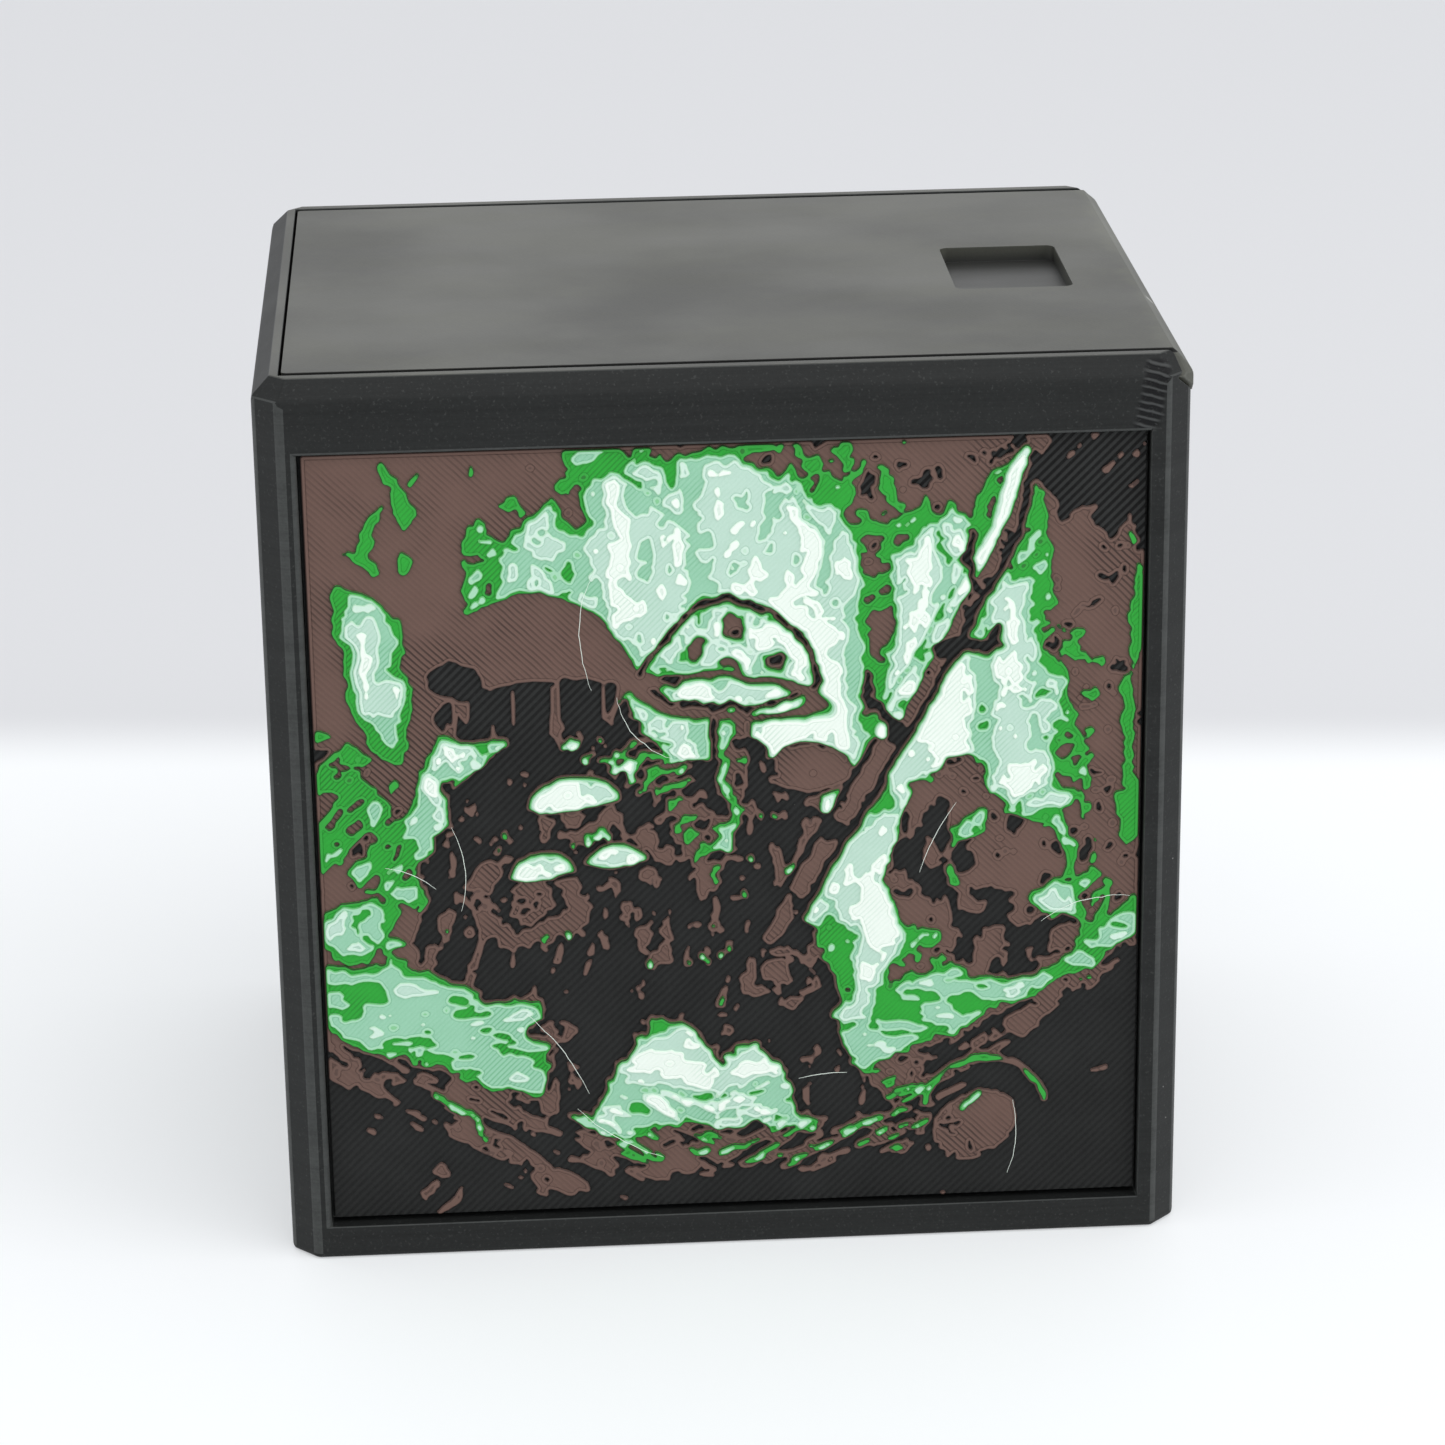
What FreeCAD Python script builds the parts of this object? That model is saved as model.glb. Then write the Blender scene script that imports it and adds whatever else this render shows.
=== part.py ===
import FreeCAD, Part
import math
import os

# Deck box for a hundred sleeved cards, printed in plastic: a box with a picture panel in its front,
# and a lid that slides in V-grooves under the rims and leaves to the right.
# Millimetres. The origin is the middle of the underside, the front faces -Y and +Z is up.

# ---- driving dimensions -------------------------------------------------------------------------

# outside of the closed box
box_length = 98.0
box_depth = 78.0
box_height = 100.0
corner_chamfer = 2.8
top_chamfer = 2.0

# walls round the card compartment
front_wall = 4.6
back_wall = 3.6
left_wall = 3.6
right_wall = 3.0
floor_thickness = 2.4
inner_corner_radius = 1.0

# lid and the slot that it slides in
lid_thickness = 4.5
lid_edge = 0.5
lid_clearance = 0.3
lid_proud = 0.2
lid_corner_radius = 0.5
rim_width = 1.3
left_rim_width = 0.9

# finger recess in the lid
recess_length = 13.0
recess_width = 18.0
recess_depth = 1.7
recess_corner_radius = 1.0
recess_to_lid_end = 9.0

# pocket in the front wall
pocket_side_border = 4.5
pocket_bottom_border = 3.8
pocket_top_border = 7.75
pocket_depth = 2.6

# picture panel and its colour layers, each printed on the one below
panel_side_gap = 0.4
panel_bottom_gap = 0.7
panel_top_gap = 0.3
panel_thickness = 1.5
brown_thickness = 0.24
green_thickness = 0.24
mint_thickness = 0.16
white_thickness = 0.24

# outlines of the colour layers, measured on the panel
ground_at_sides = 28.0
ground_at_stump = 18.0
tree_width = 5.0
treetop_height = 3.0
leaf_width = 9.0
haze_width = 6.0
layer_step = 1.2
clearing_radius = 12.0
stump_width = 30.0
stump_shoulder = 10.0
sky_above_stump = 34.0

# ---- derived from the values above --------------------------------------------------------------

front_y = -box_depth / 2
back_y = box_depth / 2
left_x = -box_length / 2
right_x = box_length / 2

lid_half_width = box_depth / 2 - top_chamfer - rim_width - lid_clearance
lid_tongue = (lid_thickness - lid_edge) / 2
lid_underside = box_height - lid_thickness
slot_floor = lid_underside - lid_clearance
slot_left = left_x + top_chamfer + left_rim_width
lid_left = slot_left + lid_clearance
lid_right = right_x + lid_proud

pocket_left = left_x + pocket_side_border
pocket_right = right_x - pocket_side_border
pocket_floor_y = front_y + pocket_depth
panel_left = pocket_left + panel_side_gap
panel_bottom = pocket_bottom_border + panel_bottom_gap
panel_width = pocket_right - pocket_left - 2 * panel_side_gap
panel_height = box_height - pocket_top_border - panel_top_gap - panel_bottom
panel_face_y = pocket_floor_y - panel_thickness

X = FreeCAD.Vector(1, 0, 0)
Y = FreeCAD.Vector(0, 1, 0)
Z = FreeCAD.Vector(0, 0, 1)


# ---- shared shapes ------------------------------------------------------------------------------

def block(x0, x1, y0, y1, z0, z1):
    return Part.makeBox(x1 - x0, y1 - y0, z1 - z0, FreeCAD.Vector(x0, y0, z0))


def prism(points, along):
    """A straight solid whose section is the polygon through the points."""
    wire = Part.makePolygon(points + points[:1])
    return Part.Face(wire).extrude(along)


def rounded_block(x0, x1, y0, y1, z0, z1, radius):
    """A block whose four upright edges are rounded."""
    solid = block(x0, x1, y0, y1, z0, z1)
    upright = [e for e in solid.Edges if abs(e.tangentAt(e.FirstParameter).z) > 0.99]
    return solid.makeFillet(radius, upright)


def outer_envelope():
    """The outside of the closed box: chamfered upright corners and a chamfered top edge."""
    c = corner_chamfer
    corners = [
        (left_x + c, front_y), (right_x - c, front_y), (right_x, front_y + c), (right_x, back_y - c),
        (right_x - c, back_y), (left_x + c, back_y), (left_x, back_y - c), (left_x, front_y + c),
    ]
    solid = prism([FreeCAD.Vector(x, y, 0) for x, y in corners], Z * box_height)
    top_edges = [e for e in solid.Edges if all(v.Z > box_height - 0.01 for v in e.Vertexes)]
    return solid.makeChamfer(top_chamfer, top_edges)


def lid_section(x, half_width, top, underside, grow):
    """The lid's section across its travel, moved out square to every face by grow.

    Each edge is upright for lid_edge and then runs out and back in as a right-angled V.
    """
    middle = box_height - lid_edge - lid_tongue
    flank_shift = grow * math.sqrt(2)
    tip = half_width + lid_tongue + flank_shift
    edge = half_width + grow
    shoulder = middle + (tip - edge)
    foot_half = tip - (middle - underside)
    half = [(edge, top), (edge, shoulder), (tip, middle), (foot_half, underside)]
    mirrored = [(-y, z) for y, z in reversed(half)]
    return [FreeCAD.Vector(x, y, z) for y, z in half + mirrored]


# ---- box ----------------------------------------------------------------------------------------

def lid_slot():
    """What the lid's slot takes out of the box, open at the right and at the top."""
    run = 2 * (right_x - slot_left)
    section = lid_section(slot_left, lid_half_width, box_height + 1, slot_floor, lid_clearance)
    return prism(section, X * run)


def card_compartment():
    return rounded_block(
        left_x + left_wall, right_x - right_wall,
        front_y + front_wall, back_y - back_wall,
        floor_thickness, box_height, inner_corner_radius,
    )


def panel_pocket():
    return block(
        pocket_left, pocket_right,
        front_y - 1, pocket_floor_y,
        pocket_bottom_border, box_height - pocket_top_border,
    )


def box_body():
    return outer_envelope().cut([card_compartment(), lid_slot(), panel_pocket()])


# ---- lid ----------------------------------------------------------------------------------------

def lid_end_mask():
    """Rounds the two corners of the lid's top edge at its closed end, above the V."""
    r = lid_corner_radius
    top = rounded_block(
        lid_left, 2 * lid_right, -lid_half_width, lid_half_width,
        box_height - lid_edge, box_height, r,
    )
    below = block(
        lid_left, 2 * lid_right, front_y, back_y,
        lid_underside, box_height - lid_edge,
    )
    return top.fuse(below)


def finger_recess():
    end = lid_right - recess_to_lid_end
    return rounded_block(
        end - recess_length, end, -recess_width / 2, recess_width / 2,
        box_height - recess_depth, box_height + 1, recess_corner_radius,
    )


def sliding_lid():
    section = lid_section(lid_left, lid_half_width, box_height, lid_underside, 0)
    plate = prism(section, X * (lid_right - lid_left))
    envelope = outer_envelope()
    envelope.translate(X * lid_proud)
    return plate.common(envelope).common(lid_end_mask()).cut(finger_recess())


# ---- picture panel ------------------------------------------------------------------------------

def on_panel(x, z, y):
    """A point given from the panel's lower left corner, at the depth y of the box."""
    return FreeCAD.Vector(panel_left + x, y, panel_bottom + z)


def art_panel_base():
    return block(
        panel_left, panel_left + panel_width,
        panel_face_y, pocket_floor_y,
        panel_bottom, panel_bottom + panel_height,
    )


def ground_line(y, inset, lift):
    """The upper edge of the black ground, left to right: it falls to the stump from both sides."""
    middle = panel_width / 2
    return [
        on_panel(inset, ground_at_sides + lift, y),
        on_panel(middle - stump_width / 2, ground_at_stump + lift, y),
        on_panel(middle + stump_width / 2, ground_at_stump + lift, y),
        on_panel(panel_width - inset, ground_at_sides + lift, y),
    ]


def backdrop(y, inset, drop, lift, thickness):
    """A layer's whole area: it stands on the ground line and has square shoulders."""
    top = panel_height - drop
    outline = ground_line(y, inset, lift)
    outline += [on_panel(panel_width - inset, top, y), on_panel(inset, top, y)]
    return prism(outline, -Y * thickness)


def clearing(y, inset, drop, lift, thickness):
    """A backdrop whose two shoulders are rounded."""
    solid = backdrop(y, inset, drop, lift, thickness)
    top = panel_bottom + panel_height - drop
    shoulders = [e for e in solid.Edges if all(v.Z > top - 0.01 for v in e.Vertexes) and e.Length < 1]
    return solid.makeFillet(clearing_radius, shoulders)


def stump(y, grow, thickness):
    """The dark mass at the middle, where the layers leave the black base showing."""
    middle = panel_width / 2
    half = stump_width / 2 + grow
    top = panel_height - sky_above_stump + grow
    shoulder = top - stump_shoulder
    points = [
        (middle - half, 0), (middle + half, 0), (middle + half, shoulder),
        (middle + half - stump_shoulder, top), (middle - half + stump_shoulder, top), (middle - half, shoulder),
    ]
    return prism([on_panel(x, z, y) for x, z in points], -Y * thickness)


def colour_layers():
    """The four colours from the base outwards, each a step inside the one that carries it."""
    plan = [
        ("art_layer_brown", backdrop, 0, 0, brown_thickness),
        ("art_layer_green", clearing, tree_width, treetop_height, green_thickness),
        ("art_layer_mint", clearing, leaf_width, leaf_width, mint_thickness),
        ("art_layer_white", clearing, haze_width, haze_width, white_thickness),
    ]
    layers = {}
    face_y = panel_face_y
    inset = 0
    drop = 0
    for step, (name, area, side_step, top_step, thickness) in enumerate(plan):
        inset += side_step
        drop += top_step
        grow = step * layer_step
        layer = area(face_y, inset, drop, grow, thickness)
        layers[name] = layer.cut(stump(face_y, grow, thickness))
        face_y -= thickness
    return layers


# ---- export -------------------------------------------------------------------------------------

def main():
    nodes = {
        "box_body": box_body(),
        "sliding_lid": sliding_lid(),
        "art_panel_base": art_panel_base(),
    }
    nodes.update(colour_layers())
    os.makedirs("parts", exist_ok=True)
    for name, shape in nodes.items():
        shape = shape.removeSplitter()
        shape.exportStep("parts/" + name + ".step")
        print(name, "valid", shape.isValid(), "solids", len(shape.Solids), "mm3", round(shape.Volume, 1))


main()
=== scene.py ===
import math

import bmesh
import bpy
import numpy as np
from mathutils import Matrix, Vector
from mathutils.geometry import delaunay_2d_cdt


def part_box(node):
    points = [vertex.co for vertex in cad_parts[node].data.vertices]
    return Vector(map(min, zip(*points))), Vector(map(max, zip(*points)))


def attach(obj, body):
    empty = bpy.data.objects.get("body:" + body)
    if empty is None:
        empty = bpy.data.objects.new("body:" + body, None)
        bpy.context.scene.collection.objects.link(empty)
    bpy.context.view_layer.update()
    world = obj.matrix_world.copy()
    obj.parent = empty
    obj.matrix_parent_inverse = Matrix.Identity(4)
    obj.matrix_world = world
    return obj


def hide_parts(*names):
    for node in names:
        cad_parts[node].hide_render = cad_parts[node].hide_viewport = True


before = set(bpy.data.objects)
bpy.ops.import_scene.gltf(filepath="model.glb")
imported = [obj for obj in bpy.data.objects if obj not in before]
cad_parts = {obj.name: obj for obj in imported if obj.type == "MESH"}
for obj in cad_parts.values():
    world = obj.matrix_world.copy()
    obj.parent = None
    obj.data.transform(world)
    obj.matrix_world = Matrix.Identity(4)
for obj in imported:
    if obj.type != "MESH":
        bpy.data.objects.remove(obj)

scene = bpy.context.scene
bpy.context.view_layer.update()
mm = 0.001


# ---- box ----
# The box is one open tray of matt black plastic, printed upright in level layers 0.2 mm thick.
# Its upright corners and top edge are chamfered, and grooves under its long rims hold the lid.
# Printing and handling leave every edge slightly rounded and rubbed, and the edges are painted lighter as
# wear and a painted highlight.

plain, rubbed_highlight_edge, painted_sheen_top, underside = range(4)
layer_height = 0.2 * mm
widest_rounding = 0.9 * mm
corner_rounding = 0.6 * mm
fine_rounding = 0.12 * mm
least_turn = 0.35
seam = 0.001 * mm
hair = 0.1 * mm
half_length = 49 * mm
half_depth = 39 * mm
box_top = 100 * mm
chamfer_foot = 98 * mm
corner_chamfer = 2.8 * mm
right_end = 46 * mm


class Wire:
    """An output socket in a material. Arithmetic on it adds Math nodes."""

    def __init__(self, look, socket):
        self.look = look
        self.socket = socket

    def math(self, operation, *values):
        return self.look.node("ShaderNodeMath", {"operation": operation}, dict(enumerate(values)))

    def __add__(self, other):
        return self.math("ADD", self, other)

    def __radd__(self, other):
        return self.math("ADD", other, self)

    def __sub__(self, other):
        return self.math("SUBTRACT", self, other)

    def __rsub__(self, other):
        return self.math("SUBTRACT", other, self)

    def __mul__(self, other):
        return self.math("MULTIPLY", self, other)

    def __rmul__(self, other):
        return self.math("MULTIPLY", other, self)

    def __abs__(self):
        return self.math("ABSOLUTE", self)

    def sine(self):
        return self.math("SINE", self)

    def above(self, low, high):
        """0 up to low, 1 from high, smooth between them."""
        settings = {"interpolation_type": "SMOOTHSTEP"}
        return self.look.node(
            "ShaderNodeMapRange", settings, {"Value": self, "From Min": low, "From Max": high},
        )


class Look:
    """A material and the nodes that make it."""

    def __init__(self, name):
        self.material = bpy.data.materials.new(name)
        self.material.use_nodes = True
        self.tree = self.material.node_tree
        self.tree.nodes.clear()
        self.place = self.node("ShaderNodeTexCoord", {}, {}, "Object")
        self.x, self.y, self.z = [
            self.node("ShaderNodeSeparateXYZ", {}, {0: self.place}, axis) for axis in "XYZ"
        ]

    def node(self, kind, settings, inputs, out=0):
        made = self.tree.nodes.new(kind)
        for key, value in settings.items():
            setattr(made, key, value)
        for key, value in inputs.items():
            if isinstance(value, Wire):
                self.tree.links.new(value.socket, made.inputs[key])
            else:
                made.inputs[key].default_value = value
        return Wire(self, made.outputs[out])

    def noise(self, size, detail=3.0, along=(1, 1, 1), seed=0.0):
        """Even noise, 0 to 1, in blotches of about that size in metres, divided by along on each axis."""
        place = self.node("ShaderNodeVectorMath", {"operation": "MULTIPLY"}, {0: self.place, 1: along})
        inputs = {"Vector": place, "W": seed, "Scale": 1 / size, "Detail": detail}
        return self.node("ShaderNodeTexNoise", {"noise_dimensions": "4D"}, inputs)

    def specks(self, spacing, size, share):
        """Round specks of dust, 1 on a speck; only that share of the places has one."""
        inputs = {"Vector": self.place, "Scale": 1 / spacing}
        distance = self.node("ShaderNodeTexVoronoi", {}, inputs, "Distance")
        pick = self.node(
            "ShaderNodeSeparateColor", {}, {0: self.node("ShaderNodeTexVoronoi", {}, inputs, "Color")},
        )
        return (
            1 - distance.above(size / spacing * 0.5, size / spacing)
        ) * pick.above(1 - share, 1.001 - share)

    def blend(self, share, under, over):
        inputs = {0: share, 6: colour(under), 7: colour(over)}
        return self.node("ShaderNodeMix", {"data_type": "RGBA"}, inputs, 2)

    def bump(self, height, depth, under=None):
        """Turns a height of 0 to 1 into a slope; depth is its real size in metres."""
        inputs = {"Height": height, "Distance": depth, "Strength": 1.0}
        if under:
            inputs["Normal"] = under
        return self.node("ShaderNodeBump", {}, inputs, "Normal")

    def finish(self, base, roughness, normal, **constants):
        inputs = {"Base Color": base, "Roughness": roughness, "Normal": normal}
        inputs.update({key.replace("_", " "): value for key, value in constants.items()})
        shader = self.node("ShaderNodeBsdfPrincipled", {}, inputs)
        output = self.tree.nodes.new("ShaderNodeOutputMaterial")
        self.tree.links.new(shader.socket, output.inputs["Surface"])
        return self.material


def colour(value):
    return value if isinstance(value, Wire) else (*value, 1.0)


def placed(name, data):
    made = bpy.data.objects.new(name, data)
    scene.collection.objects.link(made)
    return made


def rounded_copy(node, name, width_at, end_seam=seam):
    """A copy of a node whose sharp edges are rounded over; width_at gives an edge's width in metres.

    Points nearer than end_seam at the box's right end are joined first.
    """
    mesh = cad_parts[node].data.copy()
    mesh.name = name
    mesh.materials.clear()
    work = bmesh.new()
    work.from_mesh(mesh)
    bmesh.ops.remove_doubles(work, verts=work.verts[:], dist=seam)
    bmesh.ops.remove_doubles(work, verts=[v for v in work.verts if v.co.x > right_end], dist=end_seam)
    bmesh.ops.dissolve_limit(work, angle_limit=0.01, verts=work.verts[:], edges=work.edges[:])
    weight = work.edges.layers.float.new("bevel_weight_edge")
    for edge in work.edges:
        if len(edge.link_faces) == 2 and edge.calc_face_angle(0) > least_turn:
            edge[weight] = width_at(*edge.verts) / widest_rounding
    work.to_mesh(mesh)
    work.free()
    piece = placed(name, mesh)
    rounding = piece.modifiers.new("rounding", "BEVEL")
    rounding.limit_method = "WEIGHT"
    rounding.width = widest_rounding
    rounding.segments = 5
    rounding.use_clamp_overlap = False
    rounding.material = rubbed_highlight_edge
    for _ in (plain, rubbed_highlight_edge, painted_sheen_top, underside):
        mesh.materials.append(None)
    graph = bpy.context.evaluated_depsgraph_get()
    piece.data = bpy.data.meshes.new_from_object(piece.evaluated_get(graph))
    piece.modifiers.clear()
    for face in piece.data.polygons:
        face.use_smooth = False
    return piece


ring_spacing = 0.84 * mm


def black_plastic(name, dark, light, rough, rubbed=0.0, ringing=False):
    """Matt black printed plastic: faint level layers, a soft mottle, and dust.

    ringing adds the short dark ripples that a shaking nozzle leaves at the front's upper right corner.
    """
    look = Look(name)
    layers = look.noise(1.0, 2.0, (60, 60, 1 / layer_height))
    bands = look.noise(1.0, 1.0, (12, 12, 700))
    mottle = look.noise(9 * mm, 4.0)
    grain = look.noise(0.35 * mm, 2.0)
    shade = layers * 0.6 + bands * 0.7 + mottle * 0.4 + grain * 0.7 - 0.7
    shade = shade + rubbed * look.noise(1.6 * mm, 3.0)
    base = look.blend(shade, dark, light)
    height = layers * 0.5
    if ringing:
        line = look.z + look.x * 0.27 + look.noise(1.5 * mm, 2.0) * (0.35 * mm)
        wave = (line * (2 * math.pi / ring_spacing)).sine()
        centre = 43.9 * mm + (look.z - 92.8 * mm) * 0.22
        sideways = look.x - centre + look.noise(0.8 * mm, 1.0) * (0.9 * mm) - 0.45 * mm
        near = 1 - abs(sideways).above(0.9 * mm, 1.7 * mm)
        near = near * look.z.above(92.2 * mm, 92.8 * mm) * (1 - look.z.above(99.2 * mm, 99.9 * mm))
        near = near * (1 - look.y.above(-37.6 * mm, -37.0 * mm))
        stroke = wave.above(-0.3, 0.35) * near
        base = look.blend((1 - wave.above(-0.95, -0.4)) * near * 0.7, base, (0.06, 0.062, 0.062))
        base = look.blend(stroke * 0.95, base, (0.001, 0.001, 0.0016))
        height = height - stroke * 7
    # glint: tiny lighter specks painted into the colour as painted highlights
    glint = look.noise(0.3 * mm, 1.0, seed=4.0).above(0.58, 0.8)
    base = look.blend(glint * 0.4, base, (0.06, 0.062, 0.06))
    dust = look.specks(4 * mm, 0.12 * mm, 0.2)
    base = look.blend(dust * 0.6, base, (0.32, 0.32, 0.31))
    fluff = look.specks(11 * mm, 0.2 * mm, 0.12)
    base = look.blend(fluff * 0.7, base, (0.4, 0.4, 0.39))
    slope = look.bump(height + grain * 0.6, 0.016 * mm)
    roughness = rough + mottle * 0.16 - 0.08 + grain * 0.06
    return look.finish(base, roughness, slope, Specular_IOR_Level=0.2)


def outside_long(place, slack=hair):
    """True on the front, back and left faces, and as far as slack inside them."""
    return abs(place.y) > half_depth - slack or place.x < slack - half_length


def box_edge_width(a, b):
    """The outside upright corners are rounded most, and the printed details least."""
    middle = (a.co + b.co) / 2
    at_chamfer = all(abs(v.co.z - chamfer_foot) < hair for v in (a, b)) and outside_long(middle)
    at_foot = max(a.co.z, b.co.z) < hair
    upright = abs(a.co.x - b.co.x) + abs(a.co.y - b.co.y) < seam
    outside = abs(middle.x) > half_length - corner_chamfer - hair or abs(middle.y) > half_depth - hair
    tall = (b.co - a.co).length > box_top / 2
    return corner_rounding if at_chamfer or at_foot or upright and outside and tall else fine_rounding


box_piece = rounded_copy("box_body", "deck_box", box_edge_width)
box_materials = box_piece.data.materials
box_materials[plain] = black_plastic(
    "box_plastic", (0.006, 0.0066, 0.0065), (0.0175, 0.0188, 0.0184), 0.5, ringing=True,
)
# the rounded edge strips are painted lighter: rubbed wear, and a painted highlight where light catches the
# rounding
box_materials[rubbed_highlight_edge] = black_plastic(
    "box_plastic_rubbed_highlight", (0.014, 0.0152, 0.0148), (0.05, 0.053, 0.0515), 0.46, rubbed=0.6,
)
for face in box_piece.data.polygons:
    middle = face.center
    # the top faces of the walls take the lid's lighter grey: a painted sheen of light
    if face.normal.z > 0.9 and middle.z > box_top - hair:
        face.material_index = painted_sheen_top
    if abs(middle.x) > 44 * mm and abs(middle.y) > 34 * mm and 98.2 * mm < middle.z < 99.85 * mm:
        face.material_index = plain
    if middle.z < 0.7 * mm and face.normal.z < -0.01:
        face.material_index = underside if middle.z < 0.01 * mm else plain
    if 97.3 * mm < middle.z < 98.5 * mm and outside_long(middle, 0.5 * mm) and face.normal.z > 0.02:
        face.material_index = plain
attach(box_piece, "box")
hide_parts("box_body")


# ---- lid ----
# The lid is a flat plate with a V along each long edge, printed lying down in the same black plastic.
# It slides in the box's grooves, and a shallow rectangular recess near its right end takes a fingertip.
# Its top is smoother than the walls and painted a little greyer as a sheen of light, with smudges from
# handling.

edge_play = 0.6 * mm
corner_seam = 0.15 * mm
end_corner_rounding = 0.3 * mm
left_fillets = -45.2 * mm
fillet_reach = 69.6 * mm


def lid_edge_width(a, b):
    """The right end and its two corners are worn round, and the long edges are only broken."""
    tiny = (a.co - b.co).length < 0.3 * mm
    if tiny or max(a.co.x, b.co.x) < left_fillets and abs(a.co.y + b.co.y) > fillet_reach:
        return 0.0
    if all(v.co.x > right_end and v.co.z > chamfer_foot - hair for v in (a, b)):
        return widest_rounding if abs(a.co.y - b.co.y) > half_depth else end_corner_rounding
    return fine_rounding


lid_piece = rounded_copy("sliding_lid", "lid", lid_edge_width, corner_seam)
for corner in lid_piece.data.vertices:
    # the long edges are drawn in over the last millimetre outwards and upwards
    outwards = min(max(abs(corner.co.y) / mm - 34, 0), 1)
    upwards = min(max(corner.co.z / mm - 98.6, 0), 1)
    corner.co.y -= math.copysign(edge_play * outwards * upwards, corner.co.y)


chip_place = (47.9 * mm, -13.0 * mm, 99.2 * mm)
lid_strand = 0.62 * mm


def lid_plastic(name, dark, light, rough):
    """Greyer and smoother plastic: smudges, a rubbed right end, a chip, and shade in the gap and recess."""
    look = Look(name)
    smudge = look.noise(26 * mm, 6.0, (1, 1.3, 1), 3.0).above(0.28, 0.72)
    wipe = look.noise(8 * mm, 5.0, (0.45, 1.7, 1), 8.0).above(0.35, 0.7)
    lines = look.noise(1.0, 1.0, (700, 700, 10))
    strand = ((look.x - look.y) * (2 * math.pi / lid_strand)).sine()
    grain = look.noise(0.3 * mm, 2.0)
    rub = (look.x + wipe * (1.6 * mm)).above(46.2 * mm, 48.0 * mm)
    shade = smudge * 0.34 + wipe * 0.22 + lines * 0.1 + grain * 0.4 - 0.1 + rub * 0.3
    base = look.blend(shade, dark, light)
    dust = look.specks(5 * mm, 0.1 * mm, 0.2)
    base = look.blend(dust * 0.5, base, (0.3, 0.3, 0.29))
    away = look.node(
        "ShaderNodeVectorMath", {"operation": "DISTANCE"}, {0: look.place, 1: chip_place}, "Value",
    )
    chip = (1 - away.above(0.3 * mm, 0.9 * mm)) * look.noise(0.9 * mm, 2.0).above(0.42, 0.55)
    base = look.blend(chip, base, (0.36, 0.36, 0.33))
    in_gap = abs(look.y).above(34.6 * mm, 34.72 * mm) * look.z.above(99.4 * mm, 99.5 * mm)
    in_gap = in_gap * (1 - look.z.above(99.92 * mm, 99.99 * mm))
    base = look.blend(in_gap, base, (0.003, 0.003, 0.003))
    sunk = 1 - look.z.above(98.2 * mm, 99.85 * mm)
    sunk = sunk * look.x.above(26 * mm, 27 * mm) * (1 - look.x.above(40.5 * mm, 41 * mm))
    sunk = sunk * (1 - abs(look.y).above(9.2 * mm, 9.8 * mm))
    base = look.blend(sunk * 0.85, base, (0.016, 0.0165, 0.016))
    slope = look.bump(strand * 0.12 + lines * 0.2 + grain * 0.5, 0.01 * mm)
    roughness = rough + 0.05 - smudge * 0.08 + wipe * 0.04 + in_gap * 0.3
    return look.finish(base, roughness, slope, Specular_IOR_Level=0.42)


lid_materials = lid_piece.data.materials
# the lid's lighter grey is a painted sheen of light across its top
lid_materials[plain] = lid_plastic("lid_plastic", (0.026, 0.0268, 0.0245), (0.084, 0.0855, 0.066), 0.46)
# the lid's rounded edges are painted lighter: rubbed wear, and a painted highlight where light catches them
lid_materials[rubbed_highlight_edge] = lid_plastic(
    "lid_plastic_rubbed_highlight", (0.036, 0.037, 0.033), (0.1, 0.1015, 0.082), 0.46,
)
box_materials[painted_sheen_top] = lid_materials[plain]
box_materials[underside] = lid_plastic("box_underside", (0.011, 0.0115, 0.011), (0.03, 0.031, 0.029), 0.34)
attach(lid_piece, "lid")
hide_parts("sliding_lid")


# ---- panel base ----
# The picture is printed on a plate of black plastic that drops into the window of the front wall.
# The plate's face is laid down in slanting strands, and the black of the picture is this face.
# The ridges of its strands are real, 0.07 mm high and 0.7 mm apart.

low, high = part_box("art_panel_base")
panel_left = low.x / mm
panel_bottom = low.z / mm
panel_width = (high.x - low.x) / mm
panel_height = (high.z - low.z) / mm
panel_face = low.y / mm
panel_back = high.y / mm
strand_pitch = 0.7
strand_height = 0.07


def upright_solid(name, points, faces, back, marks=None):
    """A closed solid from its front: points are (x, z, y) in millimetres, each face turns left.

    The front is copied flat to the depth back, and walls join the two. marks is a number for each point.
    """
    faces = np.asarray(faces, int)
    used, flat = np.unique(faces, return_inverse=True)
    faces = flat.reshape(faces.shape)
    points = np.asarray(points, float)[used]
    count = len(points)
    front = np.stack([points[:, 0], points[:, 2], points[:, 1]], 1)
    rear = front.copy()
    rear[:, 1] = back
    runs = np.concatenate([faces[:, [0, 1]], faces[:, [1, 2]], faces[:, [2, 0]]])
    forward = runs[:, 0] * count + runs[:, 1]
    backward = runs[:, 1] * count + runs[:, 0]
    rim = runs[~np.isin(forward, backward)]
    walls = np.stack([rim[:, 1], rim[:, 0], rim[:, 0] + count, rim[:, 1] + count], 1)
    mesh = bpy.data.meshes.new(name)
    everything = faces.tolist() + (faces[:, ::-1] + count).tolist() + walls.tolist()
    mesh.from_pydata((np.concatenate([front, rear]) * mm).tolist(), [], everything)
    if marks is not None:
        layer = mesh.attributes.new("bead", "FLOAT", "POINT")
        layer.data.foreach_set("value", np.concatenate([marks[used], np.zeros(count)]))
    mesh.update()
    return placed(name, mesh)


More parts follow.
